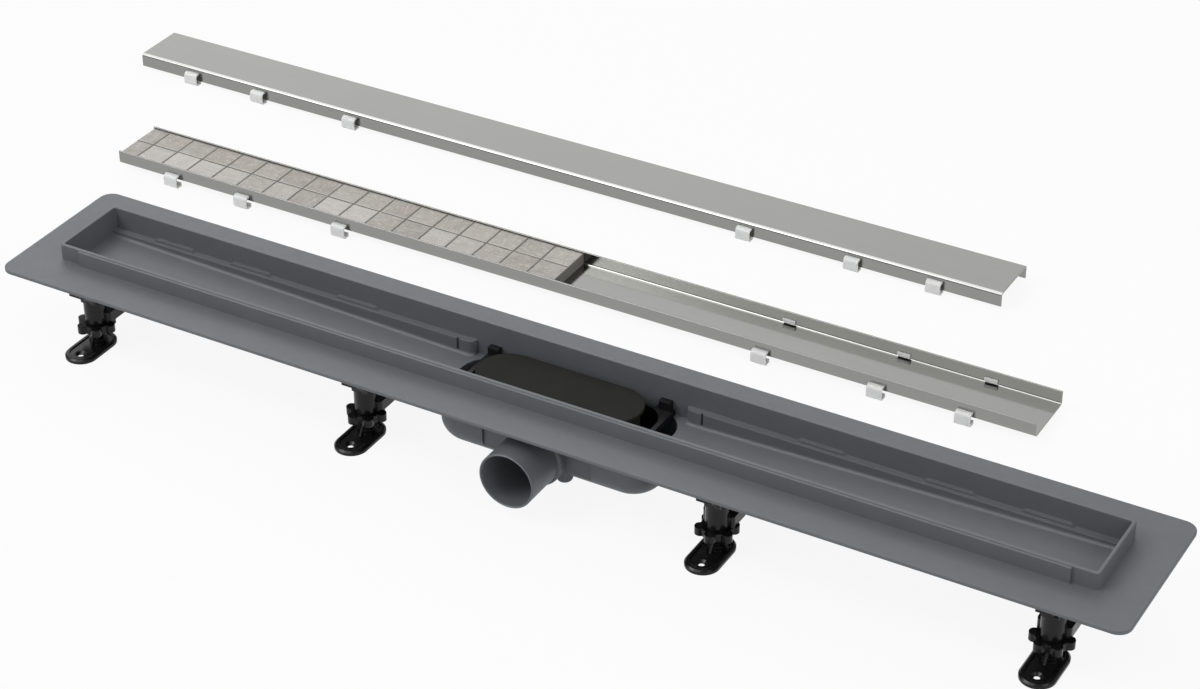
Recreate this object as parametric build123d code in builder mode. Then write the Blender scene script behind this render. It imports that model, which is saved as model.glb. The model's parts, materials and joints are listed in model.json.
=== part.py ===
"""Linear shower drain: moulded trough with a trap, screw feet, a cover grate and a tiled tray grate."""

import math
import os

from build123d import *

os.makedirs("parts", exist_ok=True)

# The origin lies on the floor under the middle of the trough. X runs along the drain, and the outlet
# points to -Y. Heights are in millimetres above the floor.

# Folded sheet grates
grate_length = 950
grate_width = 57
grate_height = 13.4
sheet = 1.5
bend_radius = 3
slot_end_distances = (64, 145.5, 256)
slot_places = sorted(side * (grate_length / 2 - inset) for side in (-1, 1) for inset in slot_end_distances)
slot_length = 12.7
slot_height = 2.2
slot_drop = 5.4

# Clips in the slots of the grates
clip_width = 14.3
clip_height = 12.9
clip_reach = 6
clip_wall = 1.7
clip_gap = 0.15
clip_top_bend = 4.2
clip_bottom_bend = 3.2
clip_foot = 2.6
clip_foot_top = 3.6
clip_lip = 1.4
hook_width = 12
hook_height = 1.9
hook_reach = 3.2
hook_barb = 1
hook_lip = 1.3

# Pocket inside the rim that takes the grate and its clips
grate_end_gap = 1.35
clip_side_gap = 0.9
pocket_length = grate_length + 2 * grate_end_gap
pocket_width = grate_width + 2 * (clip_reach + clip_side_gap)
pocket_corner = 1.5

# Raised rim around the pocket, with a proud band along each long side
rim_wall = 3
rim_length = pocket_length + 2 * rim_wall
rim_width = pocket_width + 2 * rim_wall
rim_height = 15.4
rim_corner = 3
rim_round = 0.7
band_end_distance = 21.35
band_length = rim_length - 2 * band_end_distance
band_proud = 2
band_drop = 1
band_round = 0.6

# Flange that the floor is tiled up to
flange_end_border = 37.65
flange_side_border = 38.35
flange_length = rim_length + 2 * flange_end_border
flange_width = rim_width + 2 * flange_side_border
flange_thickness = 3
flange_corner = 12
flange_round = 0.7
flange_top = 77
flange_under = flange_top - flange_thickness
rim_top = flange_top + rim_height

# Ledges under the pocket
ledge_drop = 5
ledge_wall = 3
ledge_width = 6.4
ledge_end_radius = 6
ledge_top = flange_top - ledge_drop

# Well that takes the trap
well_length = 200
well_width = pocket_width
well_corner = 25
well_wall = 3
collar_length = well_length + 2 * well_wall
collar_corner = 6

# Sloped channel between the ledges
channel_width = pocket_width - 2 * ledge_width
channel_wall = 2.8
channel_outer = channel_width + 2 * channel_wall
channel_end = pocket_length / 2
floor_end_height = 68
floor_low_height = 59
floor_thickness = 3
mouth_length = 18
floor_slope_start = well_length / 2 + mouth_length
foot_radius = 3

# Pads on the ledges that the grate's clips press on
pad_length = 44
pad_depth = 3.4
pad_height = 2.3
pad_slope = 3

# Grooves in the ledges for a strainer
groove_distance = 15.5
groove_place = well_length / 2 + groove_distance
groove_width = 2.2
groove_depth = 2
groove_bottom = 61

# Trap housing under the well
housing_bottom = 15
housing_fillet = 19
housing_top = floor_low_height - floor_thickness
housing_width = well_width + 2 * well_wall
recess_length = 102
recess_depth = 2.5
recess_top_drop = 3
recess_top = housing_top - recess_top_drop
trap_half = well_width / 2 - recess_depth

# Outlet spigot
outlet_height = 36.5
outlet_radius = 25
outlet_bore = 23.2
outlet_back_wall = 3.5
outlet_floor = well_width / 2 + outlet_back_wall
outlet_chamfer = 0.8
root_radius = 27.5
root_length = 10.6
root_reach = well_width / 2 + root_length
root_blend = 2.4
spigot_length = 39.5
outlet_reach = root_reach + spigot_length
port_length = 40
port_height = 18

# Rounded stub beside the outlet
stub_side = 22
stub_inset = 5.4
stub_radius = 7
stub_bottom = 12
stub_round = 4

# Trap insert: cup, weir and four corner lugs
cup_end_gap = 14
cup_side_gap = 4.4
cup_length = well_length - 2 * cup_end_gap
cup_width = well_width - 2 * cup_side_gap
cup_wall = 2
cup_corner = 22
cup_bottom = 19
cup_fillet = 14
cup_top = 64.5
weir_length = 100
weir_width = 34
weir_top = 57
shoulder_gap = 12
shoulder_lap = 14
shoulder_inner = cup_length / 2 - shoulder_lap
shoulder_outer = well_length / 2 - shoulder_gap
lug_setback = 2
lug_width = 10
lug_outer = shoulder_outer - lug_setback
lug_inner = lug_outer - lug_width
lug_depth = 6
lug_clearance = 0.4
lug_top = 72.5

# Face seal between the insert and the housing
seal_thickness = trap_half - cup_width / 2
seal_width = 2.1

# Trap lid with its skirt
lid_end_gap = 10.3
lid_side_gap = 4.15
lid_length = cup_length - 2 * lid_end_gap
lid_width = cup_width - 2 * lid_side_gap
lid_top = 77.8
lid_thickness = 2.5
lid_round = 1.2
skirt_inset = 4
skirt_wall = 2
skirt_bottom = 28
skirt_notch = 4
lid_rib_spacing = 30
lid_rib_thickness = 2

# Legs
leg_end_distance = 31.45
inner_leg_place = 165.3
outer_leg_place = rim_length / 2 - leg_end_distance
leg_places = (-outer_leg_place, -inner_leg_place, inner_leg_place, outer_leg_place)
leg_inset = 0.8
leg_offset = rim_width / 2 - leg_inset
sleeve_radius = 9.8
sleeve_bottom = 23.6
sleeve_top = housing_top
beam_width = 28
beam_corner = 4
beam_bottom = 24
beam_height = 10
beam_wall = 2.5
beam_pocket = 50
arm_width = 14
arm_gap = 0.3
arm_reach = 22.3
arm_inner = rim_width / 2 + arm_gap
arm_outer = arm_inner + arm_reach
arm_edge = 59
arm_round = 14
post_radius = 6
post_flats = 9.5
post_top = 52
post_clearance = 0.4
flat_clearance = 0.3
bore_head_room = 4.5

# Height nuts
nut_bottom = 16.3
nut_thickness = 7
nut_valley = 13
nut_tip = 18
nut_lobe = 4.6
nut_lobes = 6
nut_clearance = 0.3
nut_blend = 1.5
nut_turns = (5, 9, 33, 7.5)

# Foot pads
foot_length = 54.7
foot_width = 29.5
foot_shift = 10.8
foot_centre = leg_offset + foot_shift
foot_thickness = 4
foot_bevel = 1.6
dish_inset = 4
dish_depth = 1
boss_radius = 8
boss_top = 7
gusset_top = 12
gusset_reach = 11.5
gusset_thickness = 2
screw_hole_shift = 14.6
screw_hole_place = foot_centre + screw_hole_shift
screw_hole_radius = 2.5
screw_head_radius = 4.6
screw_head_angle = 90

# Places of the two grates on the floor behind the trough
cover_place = (-255, 428)
tray_place = (-147, 249)
hook_centre = clip_height - clip_gap / 3 - hook_height / 2
cover_top = hook_centre + slot_drop
tray_under = hook_centre - slot_drop
tray_top = tray_under + grate_height
tray_inner = grate_width - 2 * sheet

# Mosaic in the tray
tile_pitch = 29.07
tile_joint = 1.5
tile_rows = 2
tile_columns = 16
tile_width = (tray_inner - tile_rows * tile_joint) / tile_rows
tile_thickness = 6
tile_chamfer = 0.4
tile_drop = 1
tile_top = tray_top - tile_drop
tile_bottom = tile_top - tile_thickness
grout_drop = 0.5
bed_inset = 1
bed_start = bed_inset - grate_length / 2
cut_tile_length = 18.9
tile_first_joint = bed_start + cut_tile_length
bed_end = tile_first_joint + tile_columns * tile_pitch
hook_pocket_gap = 0.3


def save(piece, name):
    """Label a finished piece and write its file."""
    piece.part.label = name
    export_step(piece.part, f"parts/{name}.step")


# Space of one half of the channel: sloped floor, rounded feet and a rounded mouth into the well
with BuildPart() as channel_space:
    with BuildSketch(Plane.XZ):
        with BuildLine():
            Polyline(
                (floor_slope_start, floor_low_height),
                (channel_end, floor_end_height),
                (channel_end, ledge_top),
                (floor_slope_start, ledge_top),
                close=True,
            )
        make_face()
    extrude(amount=channel_width / 2, both=True)
    mouth_y = channel_width / 2 + ledge_end_radius
    with BuildSketch(Plane.XY.offset(floor_low_height)):
        with BuildLine():
            for side in (1, -1):
                Line((floor_slope_start, side * channel_width / 2),
                     (well_length / 2 + ledge_end_radius, side * channel_width / 2))
                RadiusArc((well_length / 2 + ledge_end_radius, side * channel_width / 2),
                          (well_length / 2, side * mouth_y), side * ledge_end_radius)
            Line((well_length / 2, mouth_y), (well_length / 2, -mouth_y))
            Line((floor_slope_start, channel_width / 2), (floor_slope_start, -channel_width / 2))
        make_face()
    extrude(amount=ledge_top - floor_low_height)
    feet = [
        edge for edge in channel_space.edges()
        if edge.center().Z < floor_end_height + 0.1
        and abs(edge.center().Y) > channel_width / 4
        and abs(edge.tangent_at(0.5).Z) < 0.5
    ]
    fillet(feet, radius=foot_radius)

# Trough: flange, rim, bands, channel, collar, ledges and pads in one moulding
with BuildPart() as trough_body:
    with BuildSketch(Plane.XY.offset(flange_under)):
        RectangleRounded(flange_length, flange_width, flange_corner)
    extrude(amount=flange_thickness)
    fillet(trough_body.faces().sort_by(Axis.Z)[-1].edges(), radius=flange_round)
    with BuildSketch(Plane.XY.offset(ledge_top - ledge_wall)):
        RectangleRounded(rim_length, rim_width, rim_corner)
    extrude(amount=rim_top - ledge_top + ledge_wall)
    fillet(trough_body.faces().sort_by(Axis.Z)[-1].edges(), radius=rim_round)
    with BuildSketch(Plane.XY.offset(flange_top)):
        Rectangle(band_length, rim_width + 2 * band_proud)
    extrude(amount=rim_height - band_drop)
    band_top = rim_top - band_drop
    band_edges = trough_body.edges().filter_by(Axis.X)
    band_edges = band_edges.filter_by_position(Axis.Z, band_top - 0.01, band_top + 0.01)
    fillet(band_edges.group_by(Axis.Y)[0] + band_edges.group_by(Axis.Y)[-1], radius=band_round)
    with BuildSketch(Plane.XZ):
        with BuildLine():
            Polyline(
                (-rim_length / 2, floor_end_height - floor_thickness),
                (-floor_slope_start, housing_top),
                (floor_slope_start, housing_top),
                (rim_length / 2, floor_end_height - floor_thickness),
                (rim_length / 2, ledge_top),
                (-rim_length / 2, ledge_top),
                close=True,
            )
        make_face()
    extrude(amount=channel_outer / 2, both=True)
    with BuildSketch(Plane.XY.offset(housing_top)):
        RectangleRounded(collar_length, rim_width, collar_corner)
    extrude(amount=flange_top - housing_top)
    with BuildSketch(Plane.XY.offset(ledge_top)):
        RectangleRounded(pocket_length, pocket_width, pocket_corner)
    extrude(amount=rim_height + ledge_drop, mode=Mode.SUBTRACT)
    fillet(trough_body.faces().sort_by(Axis.Z)[-1].inner_wires()[0].edges(), radius=rim_round)
    add(channel_space.part, mode=Mode.SUBTRACT)
    add(mirror(channel_space.part, about=Plane.YZ, mode=Mode.PRIVATE), mode=Mode.SUBTRACT)
    with BuildSketch(Plane.XZ.offset(well_width / 2)):
        with Locations((0, outlet_height)):
            Circle(root_radius)
    extrude(amount=root_reach - well_width / 2, mode=Mode.SUBTRACT)
    with BuildSketch(Plane.XY.offset(floor_low_height)):
        Rectangle(well_length, well_width)
    extrude(amount=ledge_top - floor_low_height, mode=Mode.SUBTRACT)
    with BuildSketch(Plane.XY.offset(housing_top)):
        RectangleRounded(well_length, well_width, well_corner)
    extrude(amount=floor_thickness, mode=Mode.SUBTRACT)
    for side in (1, -1):
        wall_y = side * pocket_width / 2
        with BuildSketch(Plane.XZ.offset(-wall_y)):
            for place in slot_places:
                with Locations((place, ledge_top)):
                    Trapezoid(pad_length, pad_height, math.degrees(math.atan(pad_height / pad_slope)),
                              align=(Align.CENTER, Align.MIN))
        extrude(amount=side * pad_depth)
        with BuildSketch(Plane.XY.offset(groove_bottom)):
            channel_y = side * channel_width / 2
            with Locations((groove_place, channel_y), (-groove_place, channel_y)):
                Rectangle(groove_width, 2 * groove_depth)
        extrude(amount=ledge_top - groove_bottom, mode=Mode.SUBTRACT)
save(trough_body, "trough_body")

# Space inside the trap housing, narrower between the recesses
with BuildPart() as trap_space:
    with BuildSketch(Plane.XY.offset(housing_bottom + well_wall)):
        RectangleRounded(well_length, well_width, well_corner)
    extrude(amount=housing_top - housing_bottom - well_wall)
    fillet(trap_space.faces().sort_by(Axis.Z)[0].edges(), radius=housing_fillet - well_wall)
    with BuildSketch(Plane.XY.offset(housing_bottom)):
        with Locations((0, trap_half + recess_depth), (0, -trap_half - recess_depth)):
            Rectangle(recess_length + 2 * well_wall, 2 * recess_depth)
    extrude(amount=housing_top - housing_bottom, mode=Mode.SUBTRACT)

# Trap housing with the outlet spigot
with BuildPart() as trap_housing:
    with BuildSketch(Plane.XY.offset(housing_bottom)):
        RectangleRounded(collar_length, housing_width, well_corner + well_wall)
    extrude(amount=housing_top - housing_bottom)
    fillet(trap_housing.faces().sort_by(Axis.Z)[0].edges(), radius=housing_fillet)
    with BuildSketch(Plane.XY.offset(housing_bottom)):
        with Locations((0, housing_width / 2), (0, -housing_width / 2)):
            Rectangle(recess_length, 2 * recess_depth)
    extrude(amount=recess_top - housing_bottom, mode=Mode.SUBTRACT)
    with BuildSketch(Plane.XY.offset(stub_bottom)):
        with Locations((stub_side, stub_inset - well_width / 2)):
            Circle(stub_radius)
    extrude(amount=housing_fillet)
    fillet(trap_housing.faces().sort_by(Axis.Z)[0].edges(), radius=stub_round)
    with BuildSketch(Plane.XZ.offset(well_width / 2)):
        with Locations((0, outlet_height)):
            Circle(root_radius)
    extrude(amount=root_reach - well_width / 2)
    fillet(trap_housing.faces().sort_by(Axis.Y)[0].edges(), radius=root_blend)
    with BuildSketch(Plane.XZ.offset(root_reach)):
        with Locations((0, outlet_height)):
            Circle(outlet_radius)
    extrude(amount=outlet_reach - root_reach)
    with BuildSketch(Plane.XZ.offset(outlet_floor)):
        with Locations((0, outlet_height)):
            Circle(outlet_bore)
    extrude(amount=outlet_reach - outlet_floor, mode=Mode.SUBTRACT)
    mouth = trap_housing.faces().sort_by(Axis.Y)[0]
    chamfer(mouth.edges(), length=outlet_chamfer)
    add(trap_space.part, mode=Mode.SUBTRACT)
    with BuildSketch(Plane.XZ.offset(trap_half)):
        with Locations((0, outlet_height)):
            SlotOverall(port_length, port_height)
    extrude(amount=outlet_floor - trap_half, mode=Mode.SUBTRACT)
save(trap_housing, "trap_housing")

# Face seal between the insert and the housing, round the outlet port
with BuildPart() as outlet_seal:
    with BuildSketch(Plane.XZ.offset(cup_width / 2)):
        with Locations((0, outlet_height)):
            SlotOverall(port_length + 2 * seal_width, port_height + 2 * seal_width)
            SlotOverall(port_length, port_height, mode=Mode.SUBTRACT)
    extrude(amount=seal_thickness)
save(outlet_seal, "outlet_seal")

# Trap insert: cup, weir, duct to the port, shoulders on the well's corners and lugs
with BuildPart() as trap_insert:
    with BuildSketch(Plane.XY.offset(cup_bottom)):
        RectangleRounded(cup_length, cup_width, cup_corner)
    extrude(amount=cup_top - cup_bottom)
    fillet(trap_insert.faces().sort_by(Axis.Z)[0].edges(), radius=cup_fillet)
    lug_face = well_width / 2 - lug_clearance
    shoulder_centre = (shoulder_inner + shoulder_outer) / 2
    lug_centre = (lug_inner + lug_outer) / 2
    with BuildSketch(Plane.XY.offset(floor_low_height)):
        with Locations((shoulder_centre, 0), (-shoulder_centre, 0)):
            Rectangle(shoulder_outer - shoulder_inner, 2 * lug_face)
    extrude(amount=cup_top - floor_low_height)
    with BuildSketch(Plane.XY.offset(cup_bottom + cup_wall)):
        RectangleRounded(cup_length - 2 * cup_wall, cup_width - 2 * cup_wall, cup_corner - cup_wall)
    extrude(amount=cup_top - cup_bottom - cup_wall, mode=Mode.SUBTRACT)
    with BuildSketch(Plane.XY.offset(cup_bottom + cup_wall)):
        SlotOverall(weir_length, weir_width)
    extrude(amount=weir_top - cup_bottom - cup_wall)
    with BuildSketch(Plane.XZ.offset(weir_width / 2 - cup_wall)):
        with Locations((0, outlet_height)):
            SlotOverall(port_length + 2 * cup_wall, port_height + 2 * cup_wall)
    extrude(amount=(cup_width - weir_width) / 2)
    with BuildSketch(Plane.XY.offset(cup_bottom + cup_wall)):
        SlotOverall(weir_length - 2 * cup_wall, weir_width - 2 * cup_wall)
    extrude(amount=weir_top - cup_bottom - cup_wall, mode=Mode.SUBTRACT)
    with BuildSketch(Plane.XZ):
        with Locations((0, outlet_height)):
            SlotOverall(port_length, port_height)
    extrude(amount=cup_width / 2, mode=Mode.SUBTRACT)
    with BuildSketch(Plane.XY.offset(cup_top)):
        for side in (1, -1):
            with Locations((lug_centre, side * (lug_face - lug_depth / 2)),
                           (-lug_centre, side * (lug_face - lug_depth / 2))):
                Rectangle(lug_outer - lug_inner, lug_depth)
    extrude(amount=lug_top - cup_top)
save(trap_insert, "trap_insert")

# Trap lid: stadium plate, skirt that dips into the cup and ribs that stand on the weir
with BuildPart() as trap_lid:
    lid_under = lid_top - lid_thickness
    with BuildSketch(Plane.XY.offset(lid_under)):
        SlotOverall(lid_length, lid_width)
    extrude(amount=lid_thickness)
    fillet(trap_lid.faces().sort_by(Axis.Z)[-1].edges(), radius=lid_round)
    with BuildSketch(Plane.XY.offset(skirt_bottom)):
        SlotOverall(lid_length - 2 * skirt_inset, lid_width - 2 * skirt_inset)
        inner_inset = skirt_inset + skirt_wall
        SlotOverall(lid_length - 2 * inner_inset, lid_width - 2 * inner_inset, mode=Mode.SUBTRACT)
    extrude(amount=lid_under - skirt_bottom)
    with BuildSketch(Plane.XZ.offset(weir_width / 2)):
        notch_top = outlet_height + port_height / 2 + skirt_notch
        with Locations((0, (skirt_bottom + notch_top) / 2)):
            Rectangle(port_length + 2 * skirt_notch, notch_top - skirt_bottom)
    extrude(amount=lid_width / 2, mode=Mode.SUBTRACT)
    with BuildSketch(Plane.XY.offset(weir_top)):
        with GridLocations(lid_rib_spacing, 1, 3, 1):
            Rectangle(lid_rib_thickness, lid_width - 2 * skirt_inset - skirt_wall)
    extrude(amount=lid_under - weir_top)
save(trap_lid, "trap_lid")

# Brackets: each crosses under the trough and holds a leg at both ends
for number, leg_x in enumerate(leg_places, start=1):
    with BuildPart() as bracket:
        with BuildSketch(Plane.XY.offset(beam_bottom)):
            with Locations((leg_x, 0)):
                RectangleRounded(beam_width, 2 * leg_offset, beam_corner)
        extrude(amount=beam_height)
        with BuildSketch(Plane.XY.offset(beam_bottom)):
            with Locations((leg_x, 0)):
                Rectangle(beam_width - 2 * beam_wall, beam_pocket)
        extrude(amount=beam_height - beam_wall, mode=Mode.SUBTRACT)
        with BuildSketch(Plane.XY.offset(sleeve_bottom)):
            with Locations((leg_x, leg_offset), (leg_x, -leg_offset)):
                Circle(sleeve_radius)
        extrude(amount=sleeve_top - sleeve_bottom)
        for side in (1, -1):
            with BuildSketch(Plane.YZ.offset(leg_x - arm_width / 2)):
                with BuildLine():
                    Polyline(
                        (side * (arm_outer - arm_round), arm_edge - arm_round),
                        (side * arm_inner, arm_edge - arm_round),
                        (side * arm_inner, flange_under),
                        (side * arm_outer, flange_under),
                        (side * arm_outer, arm_edge),
                    )
                    RadiusArc((side * arm_outer, arm_edge),
                              (side * (arm_outer - arm_round), arm_edge - arm_round), -side * arm_round)
                make_face()
            extrude(amount=arm_width)
        with BuildSketch(Plane.XY.offset(sleeve_bottom)):
            with Locations((leg_x, leg_offset), (leg_x, -leg_offset)):
                Circle(post_radius + post_clearance)
        extrude(amount=post_top + bore_head_room - sleeve_bottom, mode=Mode.SUBTRACT)
        with BuildSketch(Plane.XY.offset(sleeve_bottom)):
            for side in (1, -1):
                flat_x = post_flats / 2 + flat_clearance
                flat_depth = post_radius + post_clearance - flat_x
                with Locations((leg_x + flat_x + flat_depth / 2, side * leg_offset),
                               (leg_x - flat_x - flat_depth / 2, side * leg_offset)):
                    Rectangle(flat_depth, 2 * post_radius)
        extrude(amount=sleeve_top - sleeve_bottom)
    save(bracket, f"leg_bracket_{number}")

# Legs: the near row is numbered 1 to 4 from the left, and the far row 5 to 8
leg_spots = [(x, -leg_offset) for x in leg_places] + [(x, leg_offset) for x in leg_places]
leg_turns = nut_turns + tuple(-turn for turn in nut_turns)

for number, ((leg_x, leg_y), turn) in enumerate(zip(leg_spots, leg_turns), start=1):
    with BuildPart() as nut:
        with BuildSketch(Plane.XY.offset(nut_bottom)) as nut_outline:
            with Locations((leg_x, leg_y)):
                Circle(nut_valley)
                with PolarLocations(nut_tip - nut_lobe, nut_lobes, start_angle=turn):
                    Circle(nut_lobe)
            fillet(nut_outline.vertices(), radius=nut_blend)
            with Locations((leg_x, leg_y)):
                Circle(post_radius + nut_clearance, mode=Mode.SUBTRACT)
        extrude(amount=nut_thickness)
    save(nut, f"leg_nut_{number}")

    outward = math.copysign(1, leg_y)
    foot_y = outward * foot_centre
    with BuildPart() as foot:
        with BuildSketch():
            with Locations((leg_x, foot_y)):
                SlotOverall(foot_length, foot_width, rotation=90)
        extrude(amount=foot_thickness)
        chamfer(foot.faces().sort_by(Axis.Z)[-1].edges(), length=foot_bevel)
        with BuildSketch(Plane.XY.offset(foot_thickness - dish_depth)):
            with Locations((leg_x, foot_y)):
                SlotOverall(foot_length - 2 * dish_inset, foot_width - 2 * dish_inset, rotation=90)
        extrude(amount=dish_depth, mode=Mode.SUBTRACT)
        with BuildSketch(Plane.XY.offset(foot_thickness - dish_depth)):
            with Locations((leg_x, leg_y)):
                Circle(boss_radius)
        extrude(amount=boss_top - foot_thickness + dish_depth)
        gusset_base = foot_thickness - dish_depth
        with BuildSketch(Plane.XZ.offset(-leg_y)):
            with BuildLine():
                Polyline(
                    (leg_x - gusset_reach, gusset_base),
                    (leg_x + gusset_reach, gusset_base),
                    (leg_x + post_flats / 2, gusset_top),
                    (leg_x - post_flats / 2, gusset_top),
                    close=True,
                )
            make_face()
        extrude(amount=gusset_thickness / 2, both=True)
        with BuildSketch(Plane.YZ.offset(leg_x)):
            with BuildLine():
                Polyline(
                    (leg_y - gusset_reach, gusset_base),
                    (leg_y + gusset_reach, gusset_base),
                    (leg_y + post_radius, gusset_top),
                    (leg_y - post_radius, gusset_top),
                    close=True,
                )
            make_face()
        extrude(amount=gusset_thickness / 2, both=True)
        with BuildSketch(Plane.XY.offset(gusset_base)):
            with Locations((leg_x, leg_y)):
                Circle(post_radius)
                Rectangle(post_flats, 2 * post_radius, mode=Mode.INTERSECT)
        extrude(amount=post_top - gusset_base)
        with Locations(Location((leg_x, outward * screw_hole_place, gusset_base))):
            CounterSinkHole(screw_hole_radius, screw_head_radius, counter_sink_angle=screw_head_angle)
    save(foot, f"leg_foot_{number}")


def build_grate(place, under, web_up):
    """Fold a sheet into a channel with slots in both sides, web up for the cover or down for the tray."""
    centre_x, centre_y = place
    web_height = under + grate_height - slot_drop if web_up else under + slot_drop
    with BuildPart() as grate:
        with BuildSketch(Plane.YZ.offset(centre_x - grate_length / 2)) as section:
            with Locations((centre_y, under + grate_height / 2)):
                Rectangle(grate_width, grate_height)
            bends = section.vertices().group_by(Axis.Y)[-1 if web_up else 0]
            fillet(bends, radius=bend_radius)
        extrude(amount=grate_length)
        hollow_shift = -sheet if web_up else sheet
        with BuildSketch(Plane.YZ.offset(centre_x - grate_length / 2)) as hollow:
            with Locations((centre_y, under + grate_height / 2 + hollow_shift)):
                Rectangle(grate_width - 2 * sheet, grate_height)
            bends = hollow.vertices().group_by(Axis.Y)[-1 if web_up else 0]
            fillet(bends, radius=bend_radius - sheet)
        extrude(amount=grate_length, mode=Mode.SUBTRACT)
        with BuildSketch(Plane.XZ.offset(-centre_y)):
            for slot_x in slot_places:
                with Locations((centre_x + slot_x, web_height)):
                    Rectangle(slot_length, slot_height)
        extrude(amount=grate_width, both=True, mode=Mode.SUBTRACT)
    return grate


def build_clip(clip_x, face_y, side):
    """Bend one clip that hangs in a slot: a leg outside the sheet, a foot under it and a hook behind it."""
    inner_height = clip_height - hook_height
    inner_reach = clip_reach - clip_wall
    leg_points = {
        (clip_gap, clip_height): 0,
        (clip_reach, clip_height): clip_top_bend,
        (clip_reach, 0): clip_bottom_bend,
        (-clip_foot, 0): 0,
        (-clip_foot, clip_foot_top): 0,
        (clip_lip - clip_foot, clip_foot_top): 0,
        (clip_lip - clip_foot, clip_wall): 0,
        (inner_reach, clip_wall): clip_bottom_bend - clip_wall,
        (inner_reach, inner_height): clip_top_bend - hook_height,
        (clip_gap, inner_height): 0,
    }
    hook_top = hook_centre + hook_height / 2
    hook_under = hook_centre - hook_height / 2
    hook_points = {
        (2 * clip_gap, hook_top): 0,
        (-hook_reach, hook_top): 0,
        (-hook_reach, hook_under - hook_barb): 0,
        (hook_lip - hook_reach, hook_under - hook_barb): 0,
        (hook_lip - hook_reach, hook_under): 0,
        (2 * clip_gap, hook_under): 0,
    }
    with BuildPart() as clip:
        for points, width in ((leg_points, clip_width), (hook_points, hook_width)):
            with BuildSketch(Plane.YZ.offset(clip_x - width / 2)):
                with BuildLine():
                    FilletPolyline([(face_y + side * out, up) for out, up in points],
                                   radius=list(points.values()), close=True)
                make_face()
            extrude(amount=width)
    return clip


# Both grates, each with clips on its near and far side
for grate_name, clip_name, place, under, web_up in (
    ("cover_grate", "cover_clip", cover_place, cover_top - grate_height, True),
    ("tray_grate", "tray_clip", tray_place, tray_under, False),
):
    save(build_grate(place, under, web_up), grate_name)
    number = 0
    for side in (-1, 1):
        for slot_x in slot_places:
            number += 1
            clip = build_clip(place[0] + slot_x, place[1] + side * grate_width / 2, side)
            save(clip, f"{clip_name}_{number}")

# Mosaic: two rows of tiles, the first of each row cut short at the tray's end
tray_x, tray_y = tray_place
tile_spans = [(bed_start, tile_first_joint - tile_joint / 2)]
for column in range(tile_columns):
    start = tile_first_joint + column * tile_pitch + tile_joint / 2
    tile_spans.append((start, start + tile_pitch - tile_joint))
row_offset = (tile_width + tile_joint) / 2

for row_name, row_y in (("near_tile_row", tray_y - row_offset), ("far_tile_row", tray_y + row_offset)):
    with BuildPart() as tile_row:
        for start, end in tile_spans:
            with BuildSketch(Plane.XY.offset(tile_bottom)):
                with Locations((tray_x + (start + end) / 2, row_y)):
                    Rectangle(end - start, tile_width)
            extrude(amount=tile_thickness)
        chamfer(tile_row.faces().filter_by(Axis.Z).group_by(Axis.Z)[-1].edges(), length=tile_chamfer)
    save(tile_row, row_name)

# Adhesive bed under the tiles, with the grout that stands up between them
with BuildPart() as tile_bed:
    bed_bottom = tray_under + sheet
    bed_middle = tray_x + (bed_start + bed_end) / 2
    with BuildSketch(Plane.YZ.offset(tray_x + bed_start)) as bed_section:
        with Locations((tray_y, bed_bottom)):
            Rectangle(tray_inner, tile_top - grout_drop - bed_bottom, align=(Align.CENTER, Align.MIN))
        fillet(bed_section.vertices().group_by(Axis.Y)[0], radius=bend_radius - sheet)
    extrude(amount=bed_end - bed_start)
    for start, end in tile_spans:
        with BuildSketch(Plane.XY.offset(tile_bottom)):
            with Locations((tray_x + (start + end) / 2, tray_y)):
                with GridLocations(1, 2 * row_offset, 1, 2):
                    Rectangle(end - start, tile_width)
        extrude(amount=tile_thickness, mode=Mode.SUBTRACT)
    for slot_x in slot_places:
        if bed_start < slot_x < bed_end:
            pocket_depth = hook_reach - sheet + hook_pocket_gap
            pocket_height = hook_height + hook_barb + 2 * hook_pocket_gap
            with BuildSketch(Plane.XY.offset(clip_height - hook_height - hook_barb - hook_pocket_gap)):
                with Locations((tray_x + slot_x, tray_y)):
                    with GridLocations(1, tray_inner - pocket_depth, 1, 2):
                        Rectangle(hook_width + 2 * hook_pocket_gap, pocket_depth)
            extrude(amount=pocket_height, mode=Mode.SUBTRACT)
save(tile_bed, "tile_bed")
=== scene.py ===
import json
import math
import random

import bmesh
import bpy
from mathutils import Matrix, Vector, noise


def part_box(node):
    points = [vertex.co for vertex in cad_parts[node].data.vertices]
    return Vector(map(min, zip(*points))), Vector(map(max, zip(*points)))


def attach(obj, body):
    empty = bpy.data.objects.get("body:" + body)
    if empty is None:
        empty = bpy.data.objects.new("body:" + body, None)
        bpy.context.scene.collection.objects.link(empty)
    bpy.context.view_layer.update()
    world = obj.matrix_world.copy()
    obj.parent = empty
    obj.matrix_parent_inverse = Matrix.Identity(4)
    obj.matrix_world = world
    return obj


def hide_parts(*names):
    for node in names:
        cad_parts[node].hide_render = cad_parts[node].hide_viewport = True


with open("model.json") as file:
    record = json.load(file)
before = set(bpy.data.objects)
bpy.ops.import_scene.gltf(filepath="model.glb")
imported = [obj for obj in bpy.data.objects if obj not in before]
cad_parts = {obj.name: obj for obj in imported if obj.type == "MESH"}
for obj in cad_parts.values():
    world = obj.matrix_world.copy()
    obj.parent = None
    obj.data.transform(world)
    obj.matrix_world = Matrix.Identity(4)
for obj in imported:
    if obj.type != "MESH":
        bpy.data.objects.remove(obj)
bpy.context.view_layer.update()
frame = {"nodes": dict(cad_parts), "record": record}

# Linear shower drain in its studio, in metres. The trough stands on its feet, and both grates lie behind it.
nodes = frame["nodes"]
print("stage: frame loaded,", len(nodes), "nodes")


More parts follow.
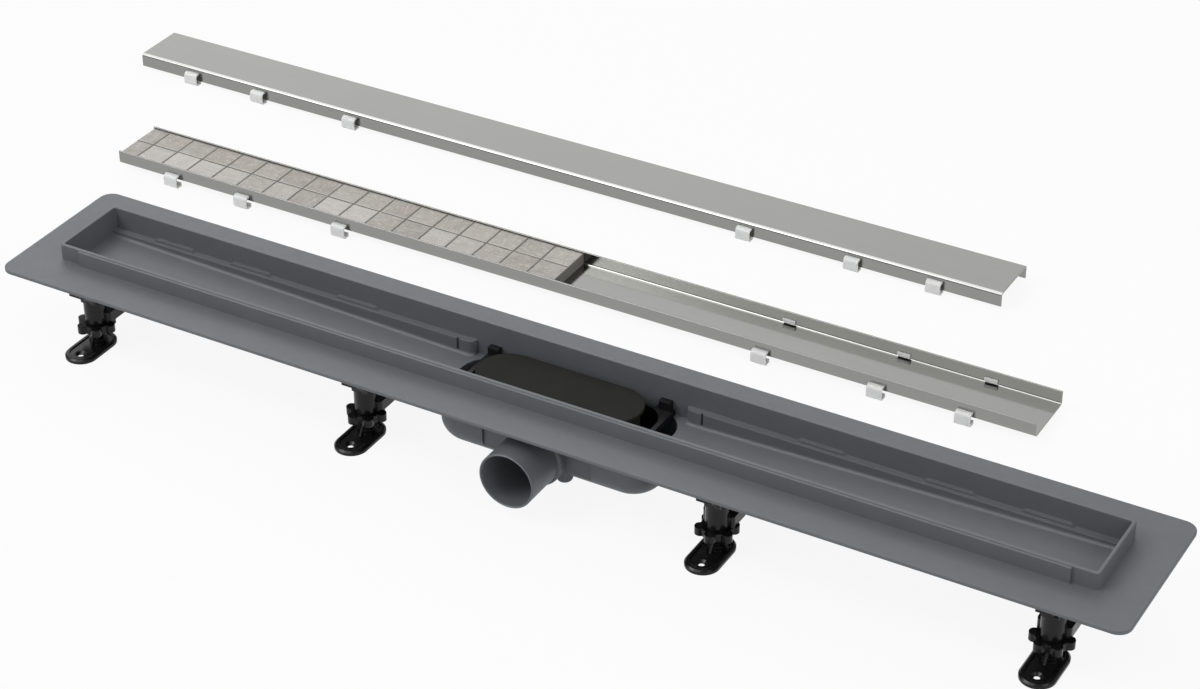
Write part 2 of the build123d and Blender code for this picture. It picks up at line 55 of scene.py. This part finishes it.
# The camera stands where the photo was taken from
cameraSet = {
    "place": (1.02394, -1.71675, 1.40674),
    "azimuth": 30.3344,      # degrees, 0 looks along +Y
    "elevation": 32.7150,
    "roll": -0.5095,
    "lens": 88.925,
    "sensor": 36.0,
    "shift": (0.01707, -0.00370),
    "clip": (0.05, 60),
}


def placeCamera(s):
    az, el, roll = (math.radians(s[k]) for k in ("azimuth", "elevation", "roll"))
    forward = Vector((-math.sin(az) * math.cos(el), math.cos(az) * math.cos(el), -math.sin(el)))
    levelRight = forward.cross(Vector((0, 0, 1))).normalized()
    levelUp = levelRight.cross(forward)
    right = levelRight * math.cos(roll) + levelUp * math.sin(roll)
    up = levelUp * math.cos(roll) - levelRight * math.sin(roll)
    data = bpy.data.cameras.new("photoCamera")
    data.lens, data.sensor_width = s["lens"], s["sensor"]
    data.shift_x, data.shift_y = s["shift"]
    data.clip_start, data.clip_end = s["clip"]
    cam = bpy.data.objects.new("photoCamera", data)
    turned = Matrix((right, up, -forward)).transposed().to_4x4()
    cam.matrix_world = Matrix.Translation(s["place"]) @ turned
    bpy.context.scene.collection.objects.link(cam)
    bpy.context.scene.camera = cam


placeCamera(cameraSet)
print("stage: camera placed")


# Small helpers for shader trees. A noise is given by its scale, its detail and, where that isn't 0.5,
# its roughness.
helperSet = {"noiseSpan": (0.3, 0.7), "edgeSamples": 6}      # most of a noise lies in noiseSpan


def newFinish(name):
    mat = bpy.data.materials.new(name)
    mat.use_nodes = True
    tree = mat.node_tree
    tree.nodes.clear()
    out = tree.nodes.new("ShaderNodeOutputMaterial")
    shader = tree.nodes.new("ShaderNodeBsdfPrincipled")
    tree.links.new(shader.outputs["BSDF"], out.inputs["Surface"])
    return mat, tree, shader


def stretched(tree, vector, scale):
    mapping = tree.nodes.new("ShaderNodeMapping")
    mapping.inputs["Scale"].default_value = scale
    tree.links.new(vector, mapping.inputs["Vector"])
    return mapping.outputs["Vector"]


def placeVector(tree, scale=(1, 1, 1)):
    # the object's own coordinates, in metres, stretched by scale
    coords = tree.nodes.new("ShaderNodeTexCoord")
    return stretched(tree, coords.outputs["Object"], scale)


def addNoise(tree, vector, scale, detail, rough=0.5):
    node = tree.nodes.new("ShaderNodeTexNoise")
    node.inputs["Scale"].default_value = scale
    node.inputs["Detail"].default_value = detail
    node.inputs["Roughness"].default_value = rough
    tree.links.new(vector, node.inputs["Vector"])
    return node.outputs["Fac"]


def addRange(tree, value, low, high, span=helperSet["noiseSpan"]):
    # maps the values in span to low..high
    node = tree.nodes.new("ShaderNodeMapRange")
    node.inputs["From Min"].default_value, node.inputs["From Max"].default_value = span
    node.inputs["To Min"].default_value = low
    node.inputs["To Max"].default_value = high
    tree.links.new(value, node.inputs["Value"])
    return node.outputs["Result"]


def addMath(tree, operation, *values):
    # each value is a number or a socket
    node = tree.nodes.new("ShaderNodeMath")
    node.operation = operation
    for pin, value in zip(node.inputs, values):
        if isinstance(value, (int, float)):
            pin.default_value = value
        else:
            tree.links.new(value, pin)
    return node.outputs[0]


def mixColours(tree, factor, first, second):
    # each colour is three numbers or a socket
    node = tree.nodes.new("ShaderNodeMix")
    node.data_type = "RGBA"
    for socket, value in (("A", first), ("B", second)):
        pin = [i for i in node.inputs if i.name == socket and i.type == "RGBA"][0]
        if isinstance(value, tuple):
            pin.default_value = (*value, 1)
        else:
            tree.links.new(value, pin)
    tree.links.new(factor, node.inputs["Factor"])
    return [o for o in node.outputs if o.type == "RGBA"][0]


def addBump(tree, height, distance, strength, normal=None):
    node = tree.nodes.new("ShaderNodeBump")
    node.inputs["Distance"].default_value = distance
    node.inputs["Strength"].default_value = strength
    tree.links.new(height, node.inputs["Height"])
    if normal is not None:
        tree.links.new(normal, node.inputs["Normal"])
    return node.outputs["Normal"]


def softEdges(tree, radius):
    node = tree.nodes.new("ShaderNodeBevel")
    node.samples = helperSet["edgeSamples"]
    node.inputs["Radius"].default_value = radius
    return node.outputs["Normal"]


# Moulded plastics: a fine grain, faint mottling and soft edges
plasticSets = {
    "grey_moulding": {"dark": (0.129, 0.138, 0.150), "light": (0.150, 0.159, 0.173), "rough": (0.44, 0.54),
                      "grain": 2600, "grainDepth": 0.00003, "grainStrength": 0.25, "edge": 0.0006,
                      "specular": 0.30},
    "black_insert": {"dark": (0.008, 0.008, 0.009), "light": (0.013, 0.013, 0.014), "rough": (0.40, 0.50),
                     "grain": 2400, "grainDepth": 0.00003, "grainStrength": 0.2, "edge": 0.0005,
                     "specular": 0.14},
    "lid_plastic": {"dark": (0.022, 0.022, 0.020), "light": (0.029, 0.029, 0.026), "rough": (0.50, 0.62),
                    "grain": 2200, "grainDepth": 0.00004, "grainStrength": 0.3, "edge": 0.0012,
                    "specular": 0.02},
    "black_plastic": {"dark": (0.006, 0.006, 0.006), "light": (0.010, 0.010, 0.010), "rough": (0.19, 0.27),
                      "grain": 1500, "grainDepth": 0.00002, "grainStrength": 0.1, "edge": 0.0008,
                      "specular": 0.24},
    "seal_rubber": {"dark": (0.015, 0.015, 0.015), "light": (0.024, 0.024, 0.024), "rough": (0.60, 0.75),
                    "grain": 1800, "grainDepth": 0.00004, "grainStrength": 0.3, "edge": 0.0003,
                    "specular": 0.3},
}
mouldingSet = {"mottling": (45, 4), "sheen": (160, 3), "grainDetail": 2}      # the same on all of them


def mouldedPlastic(name, s, shared):
    mat, tree, shader = newFinish(name)
    vector = placeVector(tree)
    mottling = addNoise(tree, vector, *shared["mottling"])
    tree.links.new(mixColours(tree, mottling, s["dark"], s["light"]), shader.inputs["Base Color"])
    sheen = addNoise(tree, vector, *shared["sheen"])
    tree.links.new(addRange(tree, sheen, *s["rough"]), shader.inputs["Roughness"])
    grain = addNoise(tree, vector, s["grain"], shared["grainDetail"])
    normal = addBump(tree, grain, s["grainDepth"], s["grainStrength"], softEdges(tree, s["edge"]))
    tree.links.new(normal, shader.inputs["Normal"])
    shader.inputs["Specular IOR Level"].default_value = s["specular"]
    return mat


# Satin stainless sheet: long streaks along the drain and a soft sheen
steelSet = {
    "dark": (0.262, 0.263, 0.252),
    "light": (0.300, 0.300, 0.288),
    "stretch": (6, 900, 900),       # along X the streaks are long
    "streaks": (1.0, 4, 0.6),
    "streakDepth": 0.00001,
    "streakStrength": 0.3,
    "clouds": (14, 3),
    "cloudShare": (0, 0.35),
    "rough": (0.11, 0.16),
    "edge": 0.0004,
}


def satinSteel(name, s):
    mat, tree, shader = newFinish(name)
    streaks = addNoise(tree, placeVector(tree, s["stretch"]), *s["streaks"])
    clouds = addNoise(tree, placeVector(tree), *s["clouds"])
    colour = mixColours(tree, streaks, s["dark"], s["light"])
    colour = mixColours(tree, addRange(tree, clouds, *s["cloudShare"]), colour, s["light"])
    tree.links.new(colour, shader.inputs["Base Color"])
    tree.links.new(addRange(tree, streaks, *s["rough"]), shader.inputs["Roughness"])
    normal = addBump(tree, streaks, s["streakDepth"], s["streakStrength"], softEdges(tree, s["edge"]))
    tree.links.new(normal, shader.inputs["Normal"])
    shader.inputs["Metallic"].default_value = 1.0
    return mat


# Natural white plastic of the clips, which scatters light inside
clipSet = {
    "colour": (0.83, 0.835, 0.83),
    "cloud": (0.78, 0.785, 0.78),
    "clouds": (220, 3),
    "rough": (0.30, 0.38),
    "sheen": (500, 3),
    "ripples": (600, 3),
    "rippleDepth": 0.00002,
    "rippleStrength": 0.08,
    "edge": 0.0003,
    "scatter": 0.8,
    "scatterColours": (1.0, 0.95, 0.9),
    "scatterReach": 0.002,
    "bending": 1.48,      # refractive index
}


def milkyPlastic(name, s):
    mat, tree, shader = newFinish(name)
    vector = placeVector(tree)
    colour = mixColours(tree, addNoise(tree, vector, *s["clouds"]), s["colour"], s["cloud"])
    tree.links.new(colour, shader.inputs["Base Color"])
    sheen = addNoise(tree, vector, *s["sheen"])
    tree.links.new(addRange(tree, sheen, *s["rough"]), shader.inputs["Roughness"])
    ripples = addNoise(tree, vector, *s["ripples"])
    normal = addBump(tree, ripples, s["rippleDepth"], s["rippleStrength"], softEdges(tree, s["edge"]))
    tree.links.new(normal, shader.inputs["Normal"])
    shader.inputs["Subsurface Weight"].default_value = s["scatter"]
    shader.inputs["Subsurface Radius"].default_value = s["scatterColours"]
    shader.inputs["Subsurface Scale"].default_value = s["scatterReach"]
    shader.inputs["IOR"].default_value = s["bending"]
    return mat


# Honed stone: a tone per tile, with bands, clouds, smoke, veins, pits and a painted highlight along the
# edges
stoneSet = {
    "dark": (0.235, 0.208, 0.182),
    "mid": (0.430, 0.390, 0.350),
    "light": (0.800, 0.775, 0.735),
    "warm": (0.470, 0.385, 0.335),
    "olive": (0.340, 0.330, 0.255),
    "smoke": (0.300, 0.285, 0.265),
    # pale colour of the veins; the painted highlight on the tile edges uses it too
    "veinAndEdgeHighlight": (0.830, 0.810, 0.775),
    "stretch": (1, 5, 1),
    "bandNoise": (34, 5, 0.6),
    "warmShare": (0.05, 0.95),
    "tintNoise": (19, 2),
    "oliveShare": (0, 0.9),
    "cloudNoise": (95, 6, 0.62),
    "cloudShare": (0.0, 0.38),
    "smokeNoise": (48, 5, 0.7),
    "smokeShare": (0.0, 0.42),
    "veinNoise": (60, 4, 0.55),
    "veinShare": 0.60,
    "veinWidth": 0.022,
    "pitNoise": (700, 4),
    "pitShare": (0.30, 0.0),
    "pitDepth": 0.00008,
    "pitStrength": 0.5,
    "edgeHighlightShare": 0.55,        # how strong the painted highlight on the tile edges is
    "rough": (0.42, 0.60),
    "specular": 0.4,
}
tileLayers = ("tileTone", "tileTurn", "tileBand", "tileEdgeHighlight")      # what the tiles' points carry for it


def tileAttribute(tree, name):
    node = tree.nodes.new("ShaderNodeAttribute")
    node.attribute_name = name
    return node.outputs["Fac"]


def tileVector(tree, turn):
    # the object's own coordinates, turned about Z by the tile's own angle
    coords = tree.nodes.new("ShaderNodeTexCoord")
    spin = tree.nodes.new("ShaderNodeVectorRotate")
    spin.rotation_type = "Z_AXIS"
    tree.links.new(coords.outputs["Object"], spin.inputs["Vector"])
    tree.links.new(turn, spin.inputs["Angle"])
    return spin.outputs["Vector"]


def toneRamp(tree, tone, s):
    ramp = tree.nodes.new("ShaderNodeValToRGB")
    ramp.color_ramp.elements[0].color = (*s["dark"], 1)
    ramp.color_ramp.elements[1].color = (*s["light"], 1)
    middle = ramp.color_ramp.elements.new(0.5)
    middle.color = (*s["mid"], 1)
    tree.links.new(tone, ramp.inputs["Fac"])
    return ramp.outputs["Color"]


def veinLines(tree, vector, s):
    # strong where the noise is near its middle, which makes thin lines
    middle = 0.5
    fromMiddle = addMath(tree, "SUBTRACT", addNoise(tree, vector, *s["veinNoise"]), middle)
    distance = addMath(tree, "ABSOLUTE", fromMiddle)
    return addRange(tree, distance, s["veinShare"], 0.0, span=(0.0, s["veinWidth"]))


def honedStone(name, s):
    mat, tree, shader = newFinish(name)
    tone, turn, band, edgeHighlight = (tileAttribute(tree, layer) for layer in tileLayers)
    vector = tileVector(tree, turn)
    grained = stretched(tree, vector, s["stretch"])
    bands = addNoise(tree, grained, *s["bandNoise"])
    clouds = addNoise(tree, vector, *s["cloudNoise"])
    tint = addNoise(tree, grained, *s["tintNoise"])
    smoke = addNoise(tree, grained, *s["smokeNoise"])
    pits = addNoise(tree, vector, *s["pitNoise"])
    warmShare = addMath(tree, "MULTIPLY", addRange(tree, bands, *s["warmShare"]), band)
    oliveShare = addMath(tree, "MULTIPLY", addRange(tree, tint, *s["oliveShare"]), band)
    edgeHighlightShare = addMath(tree, "MULTIPLY", edgeHighlight, s["edgeHighlightShare"])
    colour = mixColours(tree, warmShare, toneRamp(tree, tone, s), s["warm"])
    colour = mixColours(tree, oliveShare, colour, s["olive"])
    colour = mixColours(tree, addRange(tree, clouds, *s["cloudShare"]), colour, s["light"])
    colour = mixColours(tree, addRange(tree, smoke, *s["smokeShare"]), colour, s["smoke"])
    colour = mixColours(tree, veinLines(tree, grained, s), colour, s["veinAndEdgeHighlight"])
    colour = mixColours(tree, addRange(tree, pits, *s["pitShare"]), colour, s["dark"])
    # painted highlight: each tile's rounded edge band is mixed towards the pale vein colour
    colour = mixColours(tree, edgeHighlightShare, colour, s["veinAndEdgeHighlight"])
    tree.links.new(colour, shader.inputs["Base Color"])
    tree.links.new(addRange(tree, clouds, *s["rough"]), shader.inputs["Roughness"])
    tree.links.new(addBump(tree, pits, s["pitDepth"], s["pitStrength"]), shader.inputs["Normal"])
    shader.inputs["Specular IOR Level"].default_value = s["specular"]
    return mat


# Sandy cement between and under the tiles
groutSet = {
    "dark": (0.165, 0.157, 0.143),
    "light": (0.255, 0.245, 0.226),
    "blotches": (420, 5),
    "rough": (0.80, 0.92),
    "sheen": (900, 3),
    "sand": (1600, 4),
    "sandDepth": 0.00012,
    "sandStrength": 0.7,
    "specular": 0.25,
}


def cementGrout(name, s):
    mat, tree, shader = newFinish(name)
    vector = placeVector(tree)
    colour = mixColours(tree, addNoise(tree, vector, *s["blotches"]), s["dark"], s["light"])
    tree.links.new(colour, shader.inputs["Base Color"])
    sheen = addNoise(tree, vector, *s["sheen"])
    tree.links.new(addRange(tree, sheen, *s["rough"]), shader.inputs["Roughness"])
    sand = addNoise(tree, vector, *s["sand"])
    tree.links.new(addBump(tree, sand, s["sandDepth"], s["sandStrength"]), shader.inputs["Normal"])
    shader.inputs["Specular IOR Level"].default_value = s["specular"]
    return mat


finishes = {slot: mouldedPlastic(slot, s, mouldingSet) for slot, s in plasticSets.items()}
finishes["steel_sheet"] = satinSteel("steel_sheet", steelSet)
finishes["clip_plastic"] = milkyPlastic("clip_plastic", clipSet)
finishes["mosaic_stone"] = honedStone("mosaic_stone", stoneSet)
finishes["grout"] = cementGrout("grout", groutSet)

slotOf = {row["node"]: row["material_slot"] for row in frame["record"]["subparts"]}
for nodeName, node in nodes.items():
    if not node.material_slots:
        node.data.materials.append(None)
    for place in node.material_slots:
        place.material = finishes[slotOf[nodeName]]
print("stage: finishes made,", len(finishes))


def addPiece(name, mesh, slot):
    piece = bpy.data.objects.new(name, mesh)
    bpy.context.scene.collection.objects.link(piece)
    mesh.materials.append(finishes[slot])
    return piece


# Stone tiles: worn round edges, a slightly uneven face and a lean of their own
tileSet = {
    "rows": {"near_tile_row": "nearTiles", "far_tile_row": "farTiles"},
    "weld": 0.00001,          # points this close are one
    "edge": 0.0007,           # rounding of the worn edges
    "edgeSteps": (0, 0.15, 0.45, 1.0),
    "steps": 9,               # grid steps across the face
    "unevenness": 0.00012,
    "unevenScale": 160,
    "waver": 0.00015,         # how far an edge wanders inwards
    "waverScale": 210,
    "waverPower": 4,          # keeps the waver near the edges
    "lean": 0.00012,
    "turnSpread": 0.2,
    "sharpAngle": 50,
    "seed": 1298231,
}


def islandBoxes(node, weld):
    # the box of each separate solid in a node, in order along X
    mesh = bmesh.new()
    mesh.from_mesh(node.data)
    bmesh.ops.remove_doubles(mesh, verts=mesh.verts, dist=weld)
    boxes, left = [], set(mesh.verts)
    while left:
        found, queue = set(), [left.pop()]
        while queue:
            vert = queue.pop()
            found.add(vert)
            for edge in vert.link_edges:
                other = edge.other_vert(vert)
                if other in left:
                    left.discard(other)
                    queue.append(other)
        low = Vector(tuple(min(v.co[i] for v in found) for i in range(3)))
        high = Vector(tuple(max(v.co[i] for v in found) for i in range(3)))
        boxes.append((low, high))
    mesh.free()
    return sorted(boxes, key=lambda b: b[0].x)


def gridLine(low, high, s):
    # positions across a tile, close together near its worn edges
    edge, steps = s["edge"], s["steps"]
    start = [low + edge * k for k in s["edgeSteps"]]
    inner = [low + edge + (high - low - 2 * edge) * k / steps for k in range(1, steps)]
    return start + inner + [high - edge * k for k in reversed(s["edgeSteps"])]


def insetFrom(low, high, x, y):
    # how far a point lies inside the tile's nearest edge
    return min(x - low.x, high.x - x, y - low.y, high.y - y)


def facePoint(low, high, x, y, tone, lean, s):
    # a point of the tile's top: round at the edge, bumpy, leaning, and with a wavering outline
    edge = s["edge"]
    middle = (low + high) / 2
    half = (high - low) / 2
    inset = min(insetFrom(low, high, x, y), edge)
    drop = edge - math.sqrt(max(edge ** 2 - (edge - inset) ** 2, 0))
    bumpy = noise.noise(Vector((x, y, tone)) * s["unevenScale"]) * s["unevenness"]
    tilt = lean[0] * (x - middle.x) / half.x + lean[1] * (y - middle.y) / half.y
    height = min(high.z - drop + bumpy + tilt - s["lean"] - s["unevenness"], high.z)
    pull = s["waver"] * (1 + noise.noise(Vector((x, y, tone)) * s["waverScale"]))
    px = x - math.copysign(pull, x - middle.x) * (abs(x - middle.x) / half.x) ** s["waverPower"]
    py = y - math.copysign(pull, y - middle.y) * (abs(y - middle.y) / half.y) ** s["waverPower"]
    return px, py, height


def addTile(mesh, low, high, s, dice, look, layers):
    # look holds the tile's tone, turn and band
    xs, ys = gridLine(low.x, high.x, s), gridLine(low.y, high.y, s)
    lean = [dice.uniform(-s["lean"], s["lean"]) for _ in range(2)]
    rows = [[mesh.verts.new(facePoint(low, high, x, y, look[0], lean, s)) for x in xs] for y in ys]
    faces = []
    for a, b in zip(rows, rows[1:]):
        for k in range(len(xs) - 1):
            faces.append(mesh.faces.new((a[k], a[k + 1], b[k + 1], b[k])))
    rim = rows[0] + [row[-1] for row in rows[1:-1]] + rows[-1][::-1] + [row[0] for row in rows[-2:0:-1]]
    base = [mesh.verts.new((v.co.x, v.co.y, low.z)) for v in rim]
    for k in range(len(rim)):
        n = (k + 1) % len(rim)
        faces.append(mesh.faces.new((rim[n], rim[k], base[k], base[n])))
    faces.append(mesh.faces.new(base[::-1]))
    for face in faces:
        face.smooth = True
        for vert in face.verts:
            # points on the rounded rim carry the painted edge highlight
            edgeHighlight = 1.0 if insetFrom(low, high, vert.co.x, vert.co.y) < s["edge"] else 0.0
            for layer, value in zip(layers, (*look, edgeHighlight)):
                vert[layer] = value


def makeTiles(s):
    dice = random.Random(s["seed"])
    boxes = {nodeName: islandBoxes(nodes[nodeName], s["weld"]) for nodeName in s["rows"]}
    tones = {nodeName: [dice.random() for _ in boxes[nodeName]] for nodeName in s["rows"]}
    for nodeName, pieceName in s["rows"].items():
        mesh = bmesh.new()
        layers = [mesh.verts.layers.float.new(name) for name in tileLayers]
        for tone, (low, high) in zip(tones[nodeName], boxes[nodeName]):
            turn = dice.choice((0, math.pi / 2)) + dice.uniform(-s["turnSpread"], s["turnSpread"])
            addTile(mesh, low, high, s, dice, (tone, turn, (1 - tone) * dice.random()), layers)
        data = bpy.data.meshes.new(pieceName)
        mesh.to_mesh(data)
        mesh.free()
        data.set_sharp_from_angle(angle=math.radians(s["sharpAngle"]))
        piece = addPiece(pieceName, data, "mosaic_stone")
        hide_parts(nodeName)
        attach(piece, "root")


makeTiles(tileSet)
print("stage: mosaic laid")


# Screw thread on the posts: ridges between the two flats
threadSet = {
    "pitch": 0.004,
    "root": 0.00594,
    "crest": 0.00624,
    "crestPower": 0.7,    # under 1 it makes the ridge broad
    "flat": 0.0047,       # half the post's width across its flats, just inside them
    "bottom": 0.0125,
    "topGap": 0.0008,
    "sides": 40,
    "stepsPerPitch": 8,
}


def threadRadius(turnShare, s):
    # a rounded ridge once each turn
    ridge = max(0.0, math.cos(turnShare * math.tau)) ** s["crestPower"]
    return s["root"] + (s["crest"] - s["root"]) * ridge


def makeThread(number, s):
    low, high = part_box(f"leg_nut_{number}")
    centre = (low + high) / 2
    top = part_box(f"leg_foot_{number}")[1].z - s["topGap"]
    rings = int((top - s["bottom"]) / s["pitch"] * s["stepsPerPitch"])
    mesh = bmesh.new()
    rows = []
    for ring in range(rings + 1):
        z = s["bottom"] + (top - s["bottom"]) * ring / rings
        row = []
        for k in range(s["sides"]):
            angle = math.tau * k / s["sides"]
            radius = threadRadius(z / s["pitch"] - k / s["sides"], s)
            x = max(-s["flat"], min(s["flat"], radius * math.cos(angle)))
            row.append(mesh.verts.new((centre.x + x, centre.y + radius * math.sin(angle), z)))
        rows.append(row)
    for a, b in zip(rows, rows[1:]):
        for k in range(s["sides"]):
            n = (k + 1) % s["sides"]
            mesh.faces.new((a[k], a[n], b[n], b[k])).smooth = True
    mesh.faces.new(rows[0][::-1])
    mesh.faces.new(rows[-1])
    data = bpy.data.meshes.new(f"postThread{number}")
    mesh.to_mesh(data)
    mesh.free()
    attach(addPiece(f"postThread{number}", data, "black_plastic"), f"foot_{number}")


footCount = sum(1 for name in nodes if name.startswith("leg_foot_"))
for footNumber in range(1, footCount + 1):
    makeThread(footNumber, threadSet)
print("stage: posts threaded")


# Pale floor: nearly white to the camera and to reflections, with a faint shadow, and clear from below
floorSet = {"size": 40, "colour": (0.95, 0.95, 0.95), "glow": 0.90}


def seenDirectly(tree, amount):
    # amount for camera, glossy and transmission rays, and 0 for all others
    rays = tree.nodes.new("ShaderNodeLightPath").outputs
    total = rays["Is Camera Ray"]
    for kind in ("Is Glossy Ray", "Is Transmission Ray"):
        total = addMath(tree, "MAXIMUM", total, rays[kind])
    return addMath(tree, "MULTIPLY", total, amount)


def blendShaders(tree, factor, first, second):
    node = tree.nodes.new("ShaderNodeMixShader")
    tree.links.new(factor, node.inputs["Fac"])
    tree.links.new(first.outputs[0], node.inputs[1])
    tree.links.new(second.outputs[0], node.inputs[2])
    return node


def makeFloor(s):
    bpy.ops.mesh.primitive_plane_add(size=s["size"])
    floor = bpy.context.object
    floor.name = "studioFloor"
    mat = bpy.data.materials.new("floorPaint")
    mat.use_nodes = True
    tree = mat.node_tree
    tree.nodes.clear()
    out = tree.nodes.new("ShaderNodeOutputMaterial")
    paint = tree.nodes.new("ShaderNodeBsdfDiffuse")
    paint.inputs["Color"].default_value = (*s["colour"], 1)
    glow = tree.nodes.new("ShaderNodeEmission")
    glow.inputs["Strength"].default_value = 1.0      # plain white
    clear = tree.nodes.new("ShaderNodeBsdfTransparent")
    below = tree.nodes.new("ShaderNodeNewGeometry").outputs["Backfacing"]
    top = blendShaders(tree, seenDirectly(tree, s["glow"]), paint, glow)
    oneSided = blendShaders(tree, below, top, clear)
    tree.links.new(oneSided.outputs[0], out.inputs["Surface"])
    floor.data.materials.append(mat)


makeFloor(floorSet)
print("stage: floor laid")


# Soft studio light: a key from the upper left, a panel behind, a weak fill from the right,
# and overhead a softbox that only gloss sees. Sizes in metres, power in watts, spread in degrees.
lightSet = {
    "keyLight": {"place": (-1.7, -1.5, 2.3), "aim": (-0.1, 0.2, 0.05), "up": (0, 0, 1),
                 "size": (1.4, 1.4), "power": 30, "spread": 180, "glossOnly": False},
    "panelLight": {"place": (-1.6, 2.8, 1.55), "aim": (0.26, 0.85, 0.23), "up": (0, 0, 1),
                   "size": (3.6, 2.0), "power": 8, "spread": 120, "glossOnly": False},
    "fillLight": {"place": (2.4, -0.6, 1.4), "aim": (-0.1, 0.2, 0.05), "up": (0, 0, 1),
                  "size": (1.2, 1.2), "power": 12, "spread": 180, "glossOnly": False},
    "softboxLight": {"place": (-1.4, -1.0, 2.0), "aim": (-1.4, -1.0, 0), "up": (0, 1, 0),
                     "size": (3.6, 6.4), "power": 170, "spread": 180, "glossOnly": True},
}
skySet = {"colour": (1, 1, 1), "strength": 0.50}


def makeLight(name, s):
    data = bpy.data.lights.new(name, "AREA")
    data.shape = "RECTANGLE"
    data.size, data.size_y = s["size"]
    data.energy = s["power"]
    data.spread = math.radians(s["spread"])
    lamp = bpy.data.objects.new(name, data)
    lamp.location = s["place"]
    back = (Vector(s["place"]) - Vector(s["aim"])).normalized()
    along = Vector(s["up"]).cross(back).normalized()
    lamp.rotation_euler = Matrix((along, back.cross(along), back)).transposed().to_euler()
    lamp.visible_camera = False
    lamp.visible_diffuse = not s["glossOnly"]
    bpy.context.scene.collection.objects.link(lamp)


def makeSky(s):
    world = bpy.data.worlds.new("studioSky")
    bpy.context.scene.world = world
    world.use_nodes = True
    back = world.node_tree.nodes["Background"]
    back.inputs["Color"].default_value = (*s["colour"], 1)
    back.inputs["Strength"].default_value = s["strength"]


for lampName, lampSet in lightSet.items():
    makeLight(lampName, lampSet)
makeSky(skySet)
bpy.context.scene.view_settings.view_transform = "Standard"
print("stage: studio lit")
